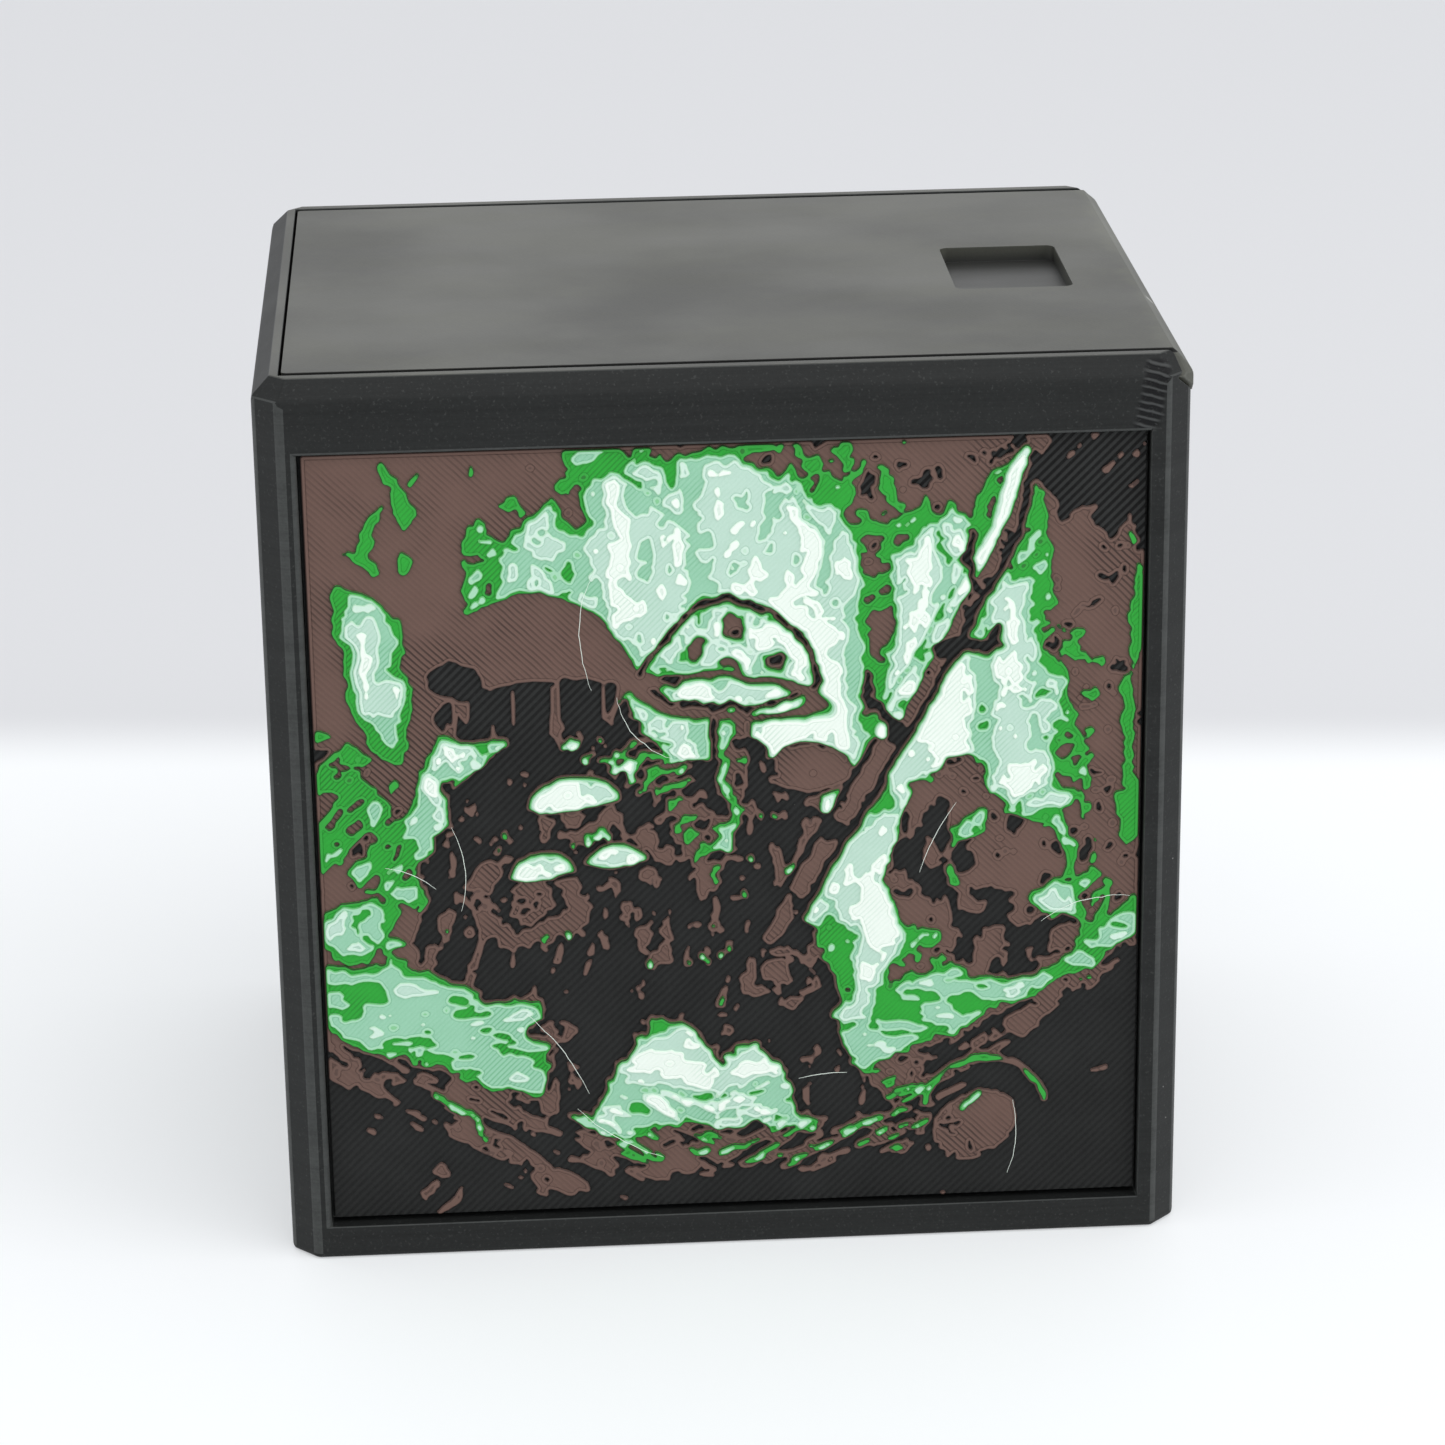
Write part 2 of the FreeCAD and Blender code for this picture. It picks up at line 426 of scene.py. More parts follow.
def strand_ridges():
    """The plate's face: ridges that climb to the right, cut off square at the plate's edges."""
    work = bmesh.new()
    reach = panel_width + panel_height
    heights = [0.0, 0.55, 1.0, 0.55]
    step = strand_pitch * math.sqrt(2) / 4
    count = int(reach / step) + 2
    rows = []
    for k in range(count):
        offset = -panel_width + k * step
        depth = panel_face + strand_height * (1 - heights[k % 4])
        ends = [(-1.0, offset - 1.0), (panel_width + 1.0, offset + panel_width + 1.0)]
        rows.append([work.verts.new((x, z, depth)) for x, z in ends])
    for a, b in zip(rows, rows[1:]):
        work.faces.new([a[0], a[1], b[1], b[0]])
    corner = (panel_width, panel_height, 0)
    cuts = [((0, 0, 0), (-1, 0, 0)), (corner, (1, 0, 0)), ((0, 0, 0), (0, -1, 0)), (corner, (0, 1, 0))]
    for point, outwards in cuts:
        everything = work.verts[:] + work.edges[:] + work.faces[:]
        bmesh.ops.bisect_plane(
            work, geom=everything, plane_co=point, plane_no=outwards, clear_outer=True, dist=1e-6,
        )
    bmesh.ops.triangulate(work, faces=work.faces[:])
    work.verts.index_update()
    points = [(v.co.x + panel_left, v.co.y + panel_bottom, v.co.z) for v in work.verts]
    faces = [[v.index for v in face.verts] for face in work.faces]
    work.free()
    return points, faces


def panel_plastic():
    """Black strands painted darker in their grooves and lighter on their ridge tops, more crisply towards the
    top.
    """
    look = Look("panel_plastic")
    grain = look.noise(0.25 * mm, 2.0)
    mottle = look.noise(6 * mm, 4.0)
    across = look.z - look.x + (panel_width + panel_left - panel_bottom) * mm
    turn = across * (2 * math.pi / (strand_pitch * math.sqrt(2) * mm)) + math.pi / 2
    # painted shade in the grooves and painted light on the ridge tops, following the real ridges
    ridge_shading = (0.5 - 0.5 * turn.sine()).above(0.2, 0.8)
    crisp = 0.25 + 0.75 * look.z.above(45 * mm, 85 * mm)
    shade = (ridge_shading - 0.5) * crisp * 0.75 + mottle * 0.4 + grain * 0.4 + 0.05
    base = look.blend(shade, (0.003, 0.003, 0.003), (0.03, 0.031, 0.0305))
    dust = look.specks(3.5 * mm, 0.09 * mm, 0.14)
    base = look.blend(dust * 0.5, base, (0.25, 0.25, 0.24))
    slope = look.bump(grain, 0.01 * mm)
    return look.finish(base, 0.55 + grain * 0.15, slope, Specular_IOR_Level=0.14)


base_piece = upright_solid("panel_base", *strand_ridges(), panel_back)
base_piece.data.materials.append(panel_plastic())
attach(base_piece, "box")
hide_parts("art_panel_base")


# ---- picture ----
# The picture is a woodland clearing in six tones, from the black plate up to white. Each tone is a
# thin printed layer on the one below, so one map of tones gives the outline of every layer.
# A tone under 1 is left black; 1 is brown, 2 green, 3 mint, 4 pale and 5 white.

cell = 0.2
columns = round(panel_width / cell) + 1
rows = round(panel_height / cell) + 1
across, up = np.meshgrid(np.linspace(0, panel_width, columns), np.linspace(0, panel_height, rows))
x = across * 100 / panel_width
z = up * 100 / panel_width
draw = np.random.RandomState(7)


def cloud(px, pz, octaves=4, fade=0.6):
    """Smooth random blotches, about -1 to 1, one blotch per unit of px and pz."""
    total = np.zeros_like(px)
    size = 1.0
    weight = 1.0
    span = 0.0
    for _ in range(octaves):
        table = draw.uniform(-1, 1, (256, 256))
        shift = draw.uniform(0, 200, 2)
        gx = px * size + shift[0]
        gz = pz * size + shift[1]
        ix = np.floor(gx).astype(int)
        iz = np.floor(gz).astype(int)
        fx = gx - ix
        fz = gz - iz
        fx = fx * fx * (3 - 2 * fx)
        fz = fz * fz * (3 - 2 * fz)
        jx = (ix + 1) % 256
        jz = (iz + 1) % 256
        lower = table[iz % 256, ix % 256] * (1 - fx) + table[iz % 256, jx] * fx
        upper = table[jz, ix % 256] * (1 - fx) + table[jz, jx] * fx
        total += weight * (lower * (1 - fz) + upper * fz)
        span += weight
        size *= 2
        weight *= fade
    return total / span * 1.6


def ease(value, low, high):
    share = np.clip((value - low) / (high - low), 0, 1)
    return share * share * (3 - 2 * share)


rough_x = cloud(x / 5, z / 5, 5, 0.7)
rough_z = cloud(x / 5, z / 5, 5, 0.7)
ragged = (x + 1.5 * rough_x, z + 1.5 * rough_z)
firm = (x + 0.6 * rough_x, z + 0.6 * rough_z)
mottle = cloud(x / 7, z / 7, 5)
fine = cloud(x / 2.2, z / 2.2)
streaks = cloud(x / 2, z / 13)
bark = cloud(x / 1.6 + z / 16, z / 9)
tone = np.zeros_like(x)


def oval(cx, cz, rx, rz, turn=0, at=ragged):
    """Rough distance to an oval in hundredths of the panel's width, less than 0 inside."""
    angle = math.radians(turn)
    a = (at[0] - cx) * math.cos(angle) + (at[1] - cz) * math.sin(angle)
    b = (at[1] - cz) * math.cos(angle) - (at[0] - cx) * math.sin(angle)
    return (np.hypot(a / rx, b / rz) - 1) * min(rx, rz)


def limb(points, at=ragged):
    """Distance to a tapering line through (x, z, half width) points."""
    best = np.full_like(x, 1e9)
    for (ax, az, aw), (bx, bz, bw) in zip(points, points[1:]):
        dx = bx - ax
        dz = bz - az
        along = np.clip(((at[0] - ax) * dx + (at[1] - az) * dz) / (dx * dx + dz * dz), 0, 1)
        away = np.hypot(at[0] - ax - along * dx, at[1] - az - along * dz)
        best = np.minimum(best, away - (aw + along * (bw - aw)))
    return best


def patch(points, at=ragged):
    """Distance to a closed outline, less than 0 inside."""
    inside = np.zeros(x.shape, bool)
    for (ax, az), (bx, bz) in zip(points, points[1:] + points[:1]):
        if az != bz:
            crosses = (az > at[1]) != (bz > at[1])
            inside ^= crosses & (at[0] < ax + (at[1] - az) * (bx - ax) / (bz - az))
    edge = limb([(px, pz, 0) for px, pz in points + points[:1]], at)
    return np.where(inside, -edge, edge)


def paint(shape, value, soft=0.4):
    """Lays a tone over the picture inside the shape and blends it in over soft hundredths each side."""
    tone[:] += (value - tone) * ease(-shape, -soft, soft)


# the clearing: misty light between far trunks, with fine leaf outlines in it
glow = np.exp(-((x - 60) / 17) ** 2 - ((z - 62) / 19) ** 2)
side_glow = np.exp(-((x - 80) / 8) ** 2 - ((z - 62) / 16) ** 2)
left_glow = np.exp(-((x - 36) / 8) ** 2 - ((z - 78) / 10) ** 2)
mist = 4.2 + 1.7 * glow + side_glow + 0.5 * left_glow + 0.95 * streaks + 0.4 * mottle + fine
paint(-np.ones_like(x), mist)
far_trunks = [
    (24.5, 0.9, 0.02, 3.2), (31.5, 1.2, -0.03, 3.1), (36, 0.7, 0.03, 5.2), (41, 0.8, 0.02, 4.6),
    (47, 0.9, -0.02, 3.4), (53, 0.8, 0.01, 5.1), (60, 1.8, 0.01, 5.5), (64.5, 0.8, 0.02, 4.2),
    (67.2, 1.9, 0, 3.15), (73, 0.9, 0.02, 5.3), (80.5, 1.5, -0.02, 3.3), (84, 0.8, 0.02, 5.1),
]
for middle, half, lean, value in far_trunks:
    paint(np.abs(ragged[0] - middle - lean * (z - 60)) - half, value + 0.5 * streaks + 0.4 * fine, 0.8)
outlines = ease(0.075 - np.abs(cloud(x / 3.4, z / 5.5, 3)), 0, 0.05)
tone -= 0.9 * outlines * ease(tone, 3.8, 4.6)

# the leaf canopy: everything outside the arches of the clearing
arch = patch(
    [(20, 40), (20, 76), (23, 86), (29, 93), (38, 97.5), (48, 98), (58, 95.5), (64, 89), (66.5, 79), (67, 40)]
)
side_arch = patch([(69.5, 40), (69.5, 78), (72, 87), (76.5, 91), (82, 88), (86.5, 80), (89, 66), (89, 40)])
arches = np.minimum(np.minimum(arch, side_arch), oval(9, 68, 5.5, 15, 8))
canopy = 2.3 + 0.75 * mottle + fine
leaves = cloud((x + z) / 3, (x - z) / 1.4, 3)
canopy += 1.2 * ease(leaves, 0.4, 0.8) - 1.1 * ease(-leaves, 0.45, 0.85)
paint(-arches, canopy, 1.2)
wedges = [
    [(29, 98, 2.6), (31.5, 93, 2), (32, 87, 0.6)], [(42, 99, 1.6), (44, 94, 0.8)],
    [(62, 99, 3), (66.5, 90, 2.8), (68.5, 78, 1.2), (68.3, 70, 0.6)],
    [(80, 98, 3.4), (83, 90, 2.2), (84, 82, 0.6)], [(53, 100, 2.6), (56, 96, 1.2)],
]
for points in wedges:
    paint(limb(points), canopy - 0.1, 1)
sprigs = [
    [(36, 99, 0.5), (40, 93, 0.35), (46, 90, 0.2)], [(73, 92, 0.5), (76, 85, 0.35), (75, 79, 0.2)],
    [(76, 85, 0.35), (80, 81, 0.2)], [(24, 88, 0.4), (29, 84, 0.3), (31, 79, 0.2)],
    [(58, 95, 0.4), (62, 87, 0.3), (61, 80, 0.2)],
]
for points in sprigs:
    paint(limb(points), 2.5, 0.5)

# the left tree, with a leaf-shaped gap through it and smaller gaps in its crown
wood = 1.5 + 0.35 * bark
left_tree = [
    (-3, 103), (22, 103), (20.5, 90), (17, 80), (19, 74), (15, 60), (13, 48), (14.5, 38), (17, 30),
    (8, 26), (-3, 22),
]
paint(patch(left_tree), wood)
undergrowth = [
    (-2, 66), (6, 62), (12, 52), (15, 64), (19, 70), (20, 60), (16, 48), (12, 40), (3, 46), (-2, 44),
]
tufts = cloud((x - z) / 1.8, (x + z) / 5, 4)
paint(patch(undergrowth), 2.3 + 0.5 * mottle + 1.3 * tufts + 0.5 * fine, 0.6)
bushes = ease(cloud(x / 1.5, z / 1.5, 3), -0.1, 0.5)
paint(oval(17.5, 55, 5.5, 10, -15), 3.4 + 1.9 * bushes + 0.6 * fine, 1)
paint(oval(4, 39, 5, 4, 10), 3 + 1.2 * bushes, 0.8)
lens = oval(7.6, 74, 4, 13.5, 7)
paint(lens, 2.5 + 0.3 * fine)
paint(lens + 1.3, 4.3 + 0.9 * streaks + 0.7 * fine, 0.8)
crown_gaps = [
    (8, 90, 0.9, 3, -20, 2.5), (11.5, 92.5, 1.3, 3.4, 12, 2.7), (9.5, 96.5, 0.8, 1.5, 30, 3.2),
    (13, 96.5, 0.6, 1.2, 0, 2.6), (12.5, 86.5, 1.1, 3.2, -8, 2.6), (25.5, 93.5, 1.5, 3, -15, 3.6),
    (21.5, 97, 1.3, 2.2, 25, 2.6), (15, 78, 0.7, 1.6, 0, 2.5), (4, 85.5, 0.5, 1.5, -30, 2.6),
    (6.5, 57, 0.7, 2.2, 20, 2.4), (4, 51, 1.6, 1, 0, 2.9), (8, 33.5, 0.8, 1.6, -20, 4.2),
    (9.5, 36.5, 1.3, 0.7, 10, 3.9), (5, 30.5, 0.7, 1.2, 0, 2.6),
]
for *place, value in crown_gaps:
    paint(oval(*place), value + 0.5 * fine, 0.35)
paint(limb([(-1, 88, 1.6), (8, 83, 1.5), (16, 76, 1.2), (20, 69, 0.8)]), 1.35 + 0.3 * bark)
paint(limb([(14, 88, 2.2), (20, 92, 2), (28, 99, 2.2)]), 1.45 + 0.3 * bark)

# the right tree, with a dark hollow and leaves on its inner side
paint(patch([(103, 103), (84, 103), (88, 92), (89.5, 80), (90.5, 68), (93, 56), (95, 44), (103, 40)]), wood)
boughs = [
    (62, 103), (84, 103), (86, 95), (82, 94), (79, 90), (76, 92.5), (74, 95), (71, 90), (69, 95),
    (66, 96),
]
paint(patch(boughs), 1.5 + 0.55 * fine, 0.5)
paint(patch([(20, 103), (34, 103), (30, 96), (27, 91), (24, 88), (21, 92)]), 1.6 + 0.6 * fine, 0.5)
hollow = [
    (86, 103), (89, 98), (87, 95), (90, 92), (91, 88), (93, 90), (95, 86), (97, 89), (99, 84), (103, 86),
    (103, 103),
]
paint(patch(hollow), 0.45 + 1.1 * ease(tufts, 0.25, 0.7) + 0.4 * fine, 0.4)
paint(limb([(85, 98, 0.7), (88, 94.5, 1), (91, 92, 1.2)]), 0.4)
outer_leaves = [
    (98.5, 87, 0.6, 2.3, 2.4), (98.8, 76, 1.3, 6, 2.5), (98.6, 62, 1.2, 7, 2.5), (99, 52, 2, 6, 2.4),
]
for *place, value in outer_leaves:
    paint(oval(*place), value + 0.4 * fine, 0.35)
leaf_spots = ease(cloud(x / 1.6, z / 1.6, 3), 0.15, 0.45) * ease(-oval(91, 66, 4.5, 12, 5), -2, 2)
tone += (2.5 + 0.5 * fine - tone) * leaf_spots

# the ground behind: a pale path between grass banks
grass = cloud(x / 3.2 + z / 9, z / 1.1)
meadow = [
    (58, 40), (68, 30), (66, 12), (60, 10), (30, 10), (14, 22), (2, 22), (-2, 34), (14, 34), (22, 30),
    (30, 25), (60, 25),
]
paint(patch(meadow), 3.45 + 1.15 * grass + 0.5 * mottle, 0.8)
paint(oval(46, 20, 13, 4), 4.9 + 1.2 * grass + 0.5 * fine, 1)
paint(oval(63, 38, 8.5, 15, -18), 4.85 + 0.8 * mottle + 0.9 * fine, 1)
bank = [
    (62, 14), (70, 27), (80, 33), (90, 34), (100, 40), (103, 46), (103, 30), (92, 30), (84, 26), (74, 22),
    (66, 14),
]
paint(patch(bank), 3.4 + 1.3 * grass, 0.8)
paint(oval(63, 33, 2, 5.5, 6), 2.4 + 0.6 * fine, 0.6)
paint(oval(62.5, 36, 3.2, 2.2, -20), 2.4 + 0.9 * fine, 0.8)

# a mossy boulder on the right
rock = np.minimum(oval(76, 47, 7, 12, -12), np.minimum(oval(84, 37, 9, 8, 10), oval(88, 47, 6, 7, 0)))
cracks = ease(cloud(x / 3.2, z / 4), 0.25, 0.5)
paint(rock, 1.5 + 0.3 * mottle - 1.3 * cracks, 0.35)
paint(np.maximum(rock + 0.2, oval(87, 56, 6, 5)), 4.4 + 0.9 * fine, 0.6)
paint(np.maximum(rock + 0.1, oval(92, 40, 5, 2.2, 10)), 4 + 0.9 * fine, 0.5)
paint(np.maximum(np.abs(oval(84, 44, 8, 8) + 0.4) - 0.7, 42 - z), 2.6 + 1.6 * fine)

# brown earth with twigs, and the dark foreground
hill = np.where(x < 48, x - z, x + z)
slope = np.where(x < 48, x * 0.55 + z, z - (x - 48) * 0.42)
twigs = cloud(hill / 9, slope / 1.1)
earth = [
    (-3, 28), (4, 24), (14, 20), (24, 16), (34, 10), (60, 11), (68, 18), (80, 24), (92, 29), (103, 37),
    (103, -3), (-3, -3),
]
paint(patch(earth), 1.05 + 0.95 * twigs + 0.25 * fine, 0.5)
front = [
    (-3, 19), (6, 16), (14, 12), (22, 8), (26, 2), (40, 3), (60, 4.5), (74, 9), (78, 15), (86, 22),
    (95, 27), (103, 33), (103, -3), (-3, -3),
]
litter = cloud(hill / 6, slope / 0.8, 4)
depth = ease(slope, 4, 20)
paint(
    patch(front),
    0.42 + 0.62 * ease(twigs, 0.5, 0.95) + 1.1 * ease(litter, 0.35, 0.75) * depth + 0.1 * fine, 1.6,
)
blades = ease(cloud(hill / 4, slope / 0.7, 3), 0.3, 0.7)
tone += blades * 2.8 * ease(-oval(56, 11, 28, 6.5), -1.5, 1.5)

# the old stump in the middle: a black mass with brown bark and knots
stump = [
    (12, 34), (12.5, 46), (16, 56), (22, 61), (30, 66), (38, 66), (43, 60), (47, 60), (53, 62), (58, 58),
    (60, 51), (57, 44), (59, 38), (62, 32), (62.5, 25), (64, 18), (70, 12), (58, 12), (56, 19), (52, 22),
    (48, 19), (45, 24), (40, 26), (36, 21), (32, 13), (25, 12), (28, 22), (27, 29), (20, 28),
]
ridges = cloud((x + 3 * np.sin(z / 9)) / 2, z / 10)
crumbs = cloud(x / 1.3, z / 2, 3)
scars = ease(0.05 - np.abs(cloud(x / 5, z / 7, 4)), 0, 0.04)
paint(patch(stump), 0.35 + ease(ridges, 0.3, 0.7) + 0.9 * ease(crumbs, 0.5, 0.85) + 1.1 * scars, 0.35)
knots = [
    (28, 24, 3.2, 2.2, 10), (55.5, 31, 4.6, 3.8, -15), (25, 42, 8, 6, -20), (44, 50, 5, 3.4, 20),
    (31, 53, 5, 4, 0), (41, 36, 2.2, 3.4, 20),
]
for place in knots:
    knot = oval(*place)
    paint(knot, 1.45 + 0.45 * fine, 0.3)
    paint(np.abs(knot + place[3] * 0.5) - 0.25, 0.5, 0.3)
moss_spots = ease(cloud(x / 1.1, z / 1.1, 3), 0.35, 0.6)
for place in [(47, 38, 2.4, 1.4), (49.5, 29, 1.2, 3), (43, 57, 4, 3.5), (37, 44, 3, 2)]:
    tone += (3 + 1.2 * fine - tone) * moss_spots * ease(-oval(*place), -0.5, 0.8)

lichen = ease(cloud(x / 0.9, z / 0.9, 2), 0.3, 0.7)
lichen_patches = [
    (36, 60, 7, 2.6, -14), (33, 49.5, 4, 1.4, 10), (52, 44, 1.2, 3.4, -12), (48, 33.5, 3, 1, 20),
    (40.5, 31, 1, 2.4, 10), (22, 50, 1.2, 3, -20), (54, 51.5, 2.4, 1.2, 0), (30, 36.5, 3.2, 0.9, 12),
    (58.5, 45, 0.9, 2.2, 0), (46, 27.5, 2, 0.8, -10),
]
for place in lichen_patches:
    tone += (2.2 + 3.2 * lichen - tone) * ease(lichen, 0.1, 0.5) * ease(-oval(*place), -0.5, 0.6)

# a mushroom with a wide brown cap on the stump's left shoulder
cap = np.maximum(oval(26.5, 67, 13, 14.5, 8, firm), oval(26, 84, 20, 20, 0, firm))
paint(cap, 1.5 + 0.18 * mottle, 0.3)
gills = ease(cloud(x / 0.9, z / 8, 2), 0.3, 0.6)
paint(oval(26, 66.5, 11.5, 3.6, 8, firm), 0.4 + 0.9 * gills, 0.35)
paint(oval(17.5, 70, 3.4, 2.6, -10), 0.4, 0.3)

# shelf fungi down its left side
for cx, cz, r in [(31, 54, 5.4), (27, 45, 4.2), (36, 46.5, 3.4)]:
    shelf = np.maximum(oval(cx, cz, r, r * 0.66, 8, firm), oval(cx, cz + r * 1.1, r * 2, r * 1.2, 8, firm))
    paint(shelf - 0.5, 0.35, 0.3)
    paint(shelf, 4.9 + 0.9 * mottle + 2 * fine)

# a toadstool with a pale spotted cap in the middle, and a small brown one beside it
stem = limb([(50, 50, 2.6), (50.5, 60, 2), (50, 68, 1.8)], firm)
paint(stem - 0.6, 0.4, 0.3)
paint(stem, 1.6 + 2.9 * ease(1.3 - np.abs(ragged[0] - 49.6), 0, 1.2) + 1.5 * fine, 0.4)
worn = (x + rough_x, z + rough_z)
toadstool = np.maximum(oval(50, 67, 10.5, 12, -6, worn), oval(50, 79.5, 17, 13, -6, worn))
paint(toadstool - 0.8, 0.4, 0.3)
paint(toadstool, 4.7 + 0.9 * mottle + 2.2 * fine)
paint(np.abs(oval(50, 67.5, 10.8, 2.6, -6, firm)) - 0.45, 1.2, 0.3)
for cx, cz, r in [(45.5, 74, 1.3), (51, 76.3, 1.6), (56, 72, 1.3), (50, 71.3, 1), (42.8, 70.3, 0.9)]:
    paint(oval(cx, cz, r * 1.25, r), 1.3 + 0.8 * fine, 0.3)
small = np.maximum(oval(60, 55, 5.5, 6, 10, firm), oval(60, 62, 9, 7, 10, firm))
paint(limb([(59, 46, 1.2), (60, 56, 1)], firm), 1.4, 0.3)
paint(small - 0.4, 0.45, 0.3)
paint(small, 1.5 + 0.4 * fine, 0.3)
paint(np.maximum(small + 1.2, -oval(60, 56, 5, 4)), 3.8 + 0.9 * fine, 0.5)

# a fern on the stump
for k in range(9):
    share = k / 8
    cx = 38 + 10 * share
    cz = 62 - 16 * share
    for side in (-1, 1):
        tip = (cx + side * (3.2 - 1.6 * share) + 1.2, cz + side * 1.6 - 1, 0.25)
        paint(limb([(cx, cz, 0.55), tip]), 2.6 + 0.9 * fine, 0.35)

# a bare branch that leans across the right side, its upper edge lit
branch = [
    (55, 36, 1.2), (57.5, 40, 1.5), (63, 50, 1.6), (70, 62, 1.5), (76, 72, 1.3), (82, 84, 1.1),
    (86.5, 95.5, 0.5),
]
reach = limb(branch, firm)
paint(reach - 0.5, 0.5, 0.35)
paint(reach + 0.25, 1.35 + 0.5 * bark, 0.3)
lit = limb([(px - 1.5, pz + 0.8, half * 0.75) for px, pz, half in branch[3:]], firm)
paint(lit - 0.3, 1.3, 0.2)
paint(lit, 4.7 + 2.2 * fine, 0.3)
paint(limb([(80.2, 84, 0.5), (83.5, 91, 0.7), (86, 97, 0.5)], firm), 5.4, 0.3)
shoots = [
    [(70, 62, 0.8), (67, 66, 0.6), (66.5, 70, 0.3)], [(76, 72, 0.7), (80, 72.5, 0.5), (83, 75, 0.3)],
    [(63, 50, 0.8), (59, 53, 0.5), (56, 53, 0.3)], [(80, 80, 0.5), (78, 84, 0.4), (78.5, 88, 0.2)],
]
for points in shoots:
    paint(limb(points) - 0.2, 0.6, 0.3)

# an acorn and grass stalks at the lower right, fallen leaves at the lower left
nut = oval(80, 9.5, 5.6, 4.6, 35, firm)
paint(nut - 0.5, 0.4, 0.3)
paint(nut, 1.5 + 0.1 * fine, 0.3)
paint(np.maximum(np.abs(oval(81, 11.5, 7.2, 7, 30, firm) - 0.4) - 0.4, 12.5 - z), 3 + 1.2 * fine, 0.3)
paint(limb([(78.4, 12, 0.3), (80.4, 14, 0.4)], firm), 4.6, 0.3)
paint(limb([(10, 1.5, 0.5), (13, 6, 0.8)]), 1.4, 0.35)
paint(limb([(12.5, 0.5, 0.7), (15, 3.5, 0.6)]), 1.4, 0.35)
paint(limb([(13, 16.5, 0.25), (17, 13.5, 0.5), (20, 10, 0.2)]), 4.2, 0.3)
grass_tips = [(61, 7.5, 20), (64.5, 9.5, 12), (58, 6, 25), (70, 12, 30), (46, 7, 10), (52, 12.5, 8)]
for cx, cz, turn in grass_tips:
    paint(oval(cx, cz, 1.1, 0.35, turn, firm), 4.4 + fine, 0.25)
ink = ease(0.07 - np.abs(cloud(x / 4, z / 4, 4)), 0, 0.05)
ink = ink * ease(tone, 1, 1.2) * (1 - ease(tone, 1.7, 2.1))
tone -= 1.1 * ink * np.maximum(ease(x, 62, 78), ease(-z, -60, -50))
tone += 0.12 * fine


# one pass of smoothing, down and across
tone = np.pad(tone, 1, mode="edge")
tone = (tone[:-2] + 2 * tone[1:-1] + tone[2:]) / 4
tone = (tone[:, :-2] + 2 * tone[:, 1:-1] + tone[:, 2:]) / 4


# ---- brown layer ----
# Brown plastic lies straight on the black plate wherever the picture isn't black.
# Each patch is drawn with a round-edged bead along its outline, a hair-fine groove inside that, and
# slanting strands across the rest. Nothing narrower than one pass of the nozzle can be drawn.

bead_reach = 5
smallest_patch = 0.11
narrowest = 0.15
step_in = 0.11
straightness = 0.09
sunk = 0.09
# the rings of a patch from its outline in: inset, fall from the face, mark
profile = [
    (0.0, 0.06, 2.0), (0.1, 0.0, 1.5), (0.16, 0.0, 1.0), (0.32, 0.0, 1.0), (0.4, 0.05, -0.6),
    (0.48, 0.01, 0.0),
]


def edge_distance(field):
    """Distance in millimetres to where the field crosses 0, less than 0 outside, up to bead_reach cells."""
    height, width = field.shape
    seed_x = np.full(field.shape, np.inf)
    seed_z = np.full(field.shape, np.inf)
    node_z, node_x = np.mgrid[0:height, 0:width].astype(float)
    nearest = np.full(field.shape, np.inf)
    for down, side in ((0, 1), (1, 0)):
        first = (slice(0, height - down), slice(0, width - side))
        second = (slice(down, None), slice(side, None))
        a = field[first]
        b = field[second]
        crossed = (a > 0) != (b > 0)
        share = np.where(crossed, a / np.where(crossed, a - b, 1), 0)
        for where, travelled in ((first, share), (second, 1 - share)):
            closer = crossed & (travelled < nearest[where])
            nearest[where] = np.where(closer, travelled, nearest[where])
            seed_x[where] = np.where(closer, node_x[first] + side * share, seed_x[where])
            seed_z[where] = np.where(closer, node_z[first] + down * share, seed_z[where])
    wide_x = np.pad(seed_x, bead_reach, constant_values=np.inf)
    wide_z = np.pad(seed_z, bead_reach, constant_values=np.inf)
    best = np.full(field.shape, float(bead_reach))
    for down in range(2 * bead_reach + 1):
        for side in range(2 * bead_reach + 1):
            near_x = wide_x[down:down + height, side:side + width]
            near_z = wide_z[down:down + height, side:side + width]
            best = np.minimum(best, np.hypot(near_x - node_x, near_z - node_z))
    return np.where(field > 0, best, -best) * cell


# the two ends of each piece of outline in a grid square, by which of its corners are inside
crossings = {
    1: [(0, 3)], 2: [(1, 0)], 3: [(1, 3)], 4: [(2, 1)], 5: [(0, 3), (2, 1)], 6: [(2, 0)], 7: [(2, 3)],
    8: [(3, 2)], 9: [(0, 2)], 10: [(1, 0), (3, 2)], 11: [(1, 2)], 12: [(3, 1)], 13: [(0, 1)], 14: [(3, 0)],
}


def outlines_at(field, level):
    """Closed outlines where the field crosses the level, in grid steps, with the inside on their left."""
    inside = field > level
    count = field.shape[1]
    code = inside[:-1, :-1] + 2 * inside[:-1, 1:] + 4 * inside[1:, 1:] + 8 * inside[1:, :-1]
    following = {}
    for r, c in zip(*np.nonzero((code > 0) & (code < 15))):
        square = r * count + c
        sides = (2 * square, 2 * (square + 1) + 1, 2 * (square + count), 2 * square + 1)
        for start, end in crossings[int(code[r, c])]:
            following[sides[start]] = sides[end]
    flat = field.ravel()
    loops = []
    while following:
        first, here = following.popitem()
        chain = [first]
        while here != first:
            chain.append(here)
            here = following.pop(here)
        sides = np.array(chain)
        a = sides // 2
        upright = sides % 2
        b = a + np.where(upright, count, 1)
        share = (level - flat[a]) / (flat[b] - flat[a])
        loops.append(np.stack([a % count + share * (1 - upright), a // count + share * upright], 1))
    return loops


